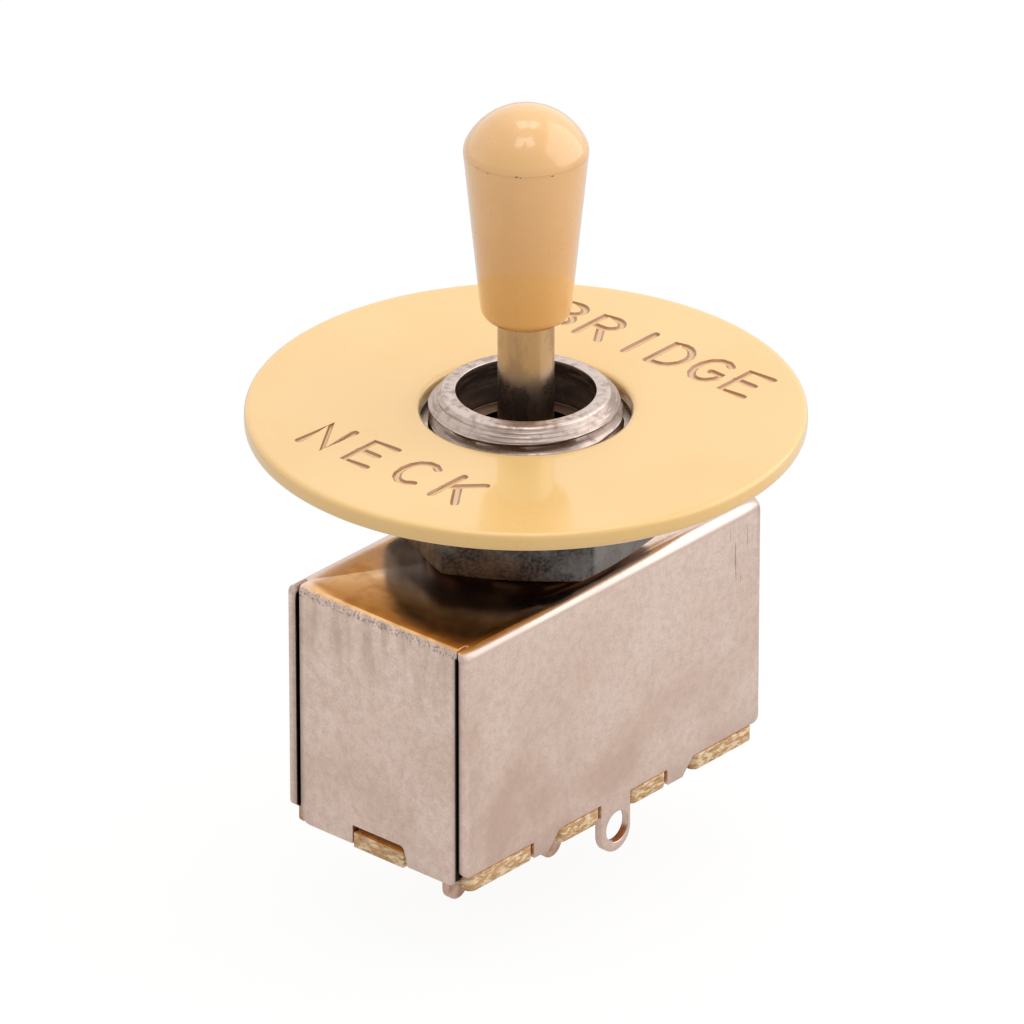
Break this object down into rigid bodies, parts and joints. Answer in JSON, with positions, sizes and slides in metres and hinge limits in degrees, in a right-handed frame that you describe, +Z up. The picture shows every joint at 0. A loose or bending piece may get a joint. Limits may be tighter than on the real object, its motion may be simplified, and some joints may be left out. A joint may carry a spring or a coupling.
{
  "type": "guitar pickup selector switch",
  "caption": "Toggle selector switch with a tapered knob on a rocking lever, a round label disc and nuts on a threaded bushing, and a folded metal case with solder lugs.",
  "frame": {"origin": "on the bushing's axis, at the top face of the folded case where the thread starts", "axes": "+Z up the bushing towards the knob, X along the case and the lever's throw, -Y towards the long flap with the earth lug"},
  "size_m": [0.0346, 0.0346, 0.0526],
  "materials": {
    "nickel_plate": "worn satin nickel plate with warm stains",
    "bushing_metal": "turned nickel-plated brass, bright rim",
    "steel": "plain steel",
    "lever_metal": "turned plated steel, dulled",
    "nut_metal": "dark dull steel",
    "knob_plastic": "aged cream moulded plastic",
    "disc_plastic": "aged cream plastic with engraved brown lettering",
    "laminate": "tan paper laminate with sawn edges",
    "terminal_metal": "tinned copper alloy, pinkish",
    "nylon": "natural nylon"
  },
  "bodies": {
    "housing": {"case": "nickel_plate", "bushing": "bushing_metal", "pivot_pin": "steel", "hex_nut": "nut_metal", "lock_washer": "steel", "ring_nut": "bushing_metal", "disc": "disc_plastic", "terminal_board": "laminate", "terminal_1": "terminal_metal", "terminal_2": "terminal_metal", "terminal_3": "terminal_metal", "terminal_4": "terminal_metal", "guide_frame": "nylon"},
    "lever": {"lever": "lever_metal", "knob": "knob_plastic"},
    "slider": {"slider": "nylon", "contact_clip": "terminal_metal", "clip_rivets": "terminal_metal", "click_ball": "steel", "click_spring": "steel"}
  },
  "joints": [
    {"name": "lever_rock", "type": "hinge", "parent": "housing", "child": "lever", "pos_m": [0, 0, 0.002], "axis": [0, 1, 0], "range_deg": [-12, 12]},
    {"name": "slider_travel", "type": "slide", "parent": "housing", "child": "slider", "axis": [1, 0, 0], "range_m": [-0.00271, 0.00271]}
  ],
  "couplings": [
    {"joint": "slider_travel", "follows": "lever_rock", "m_per_rad": -0.012905}
  ]
}
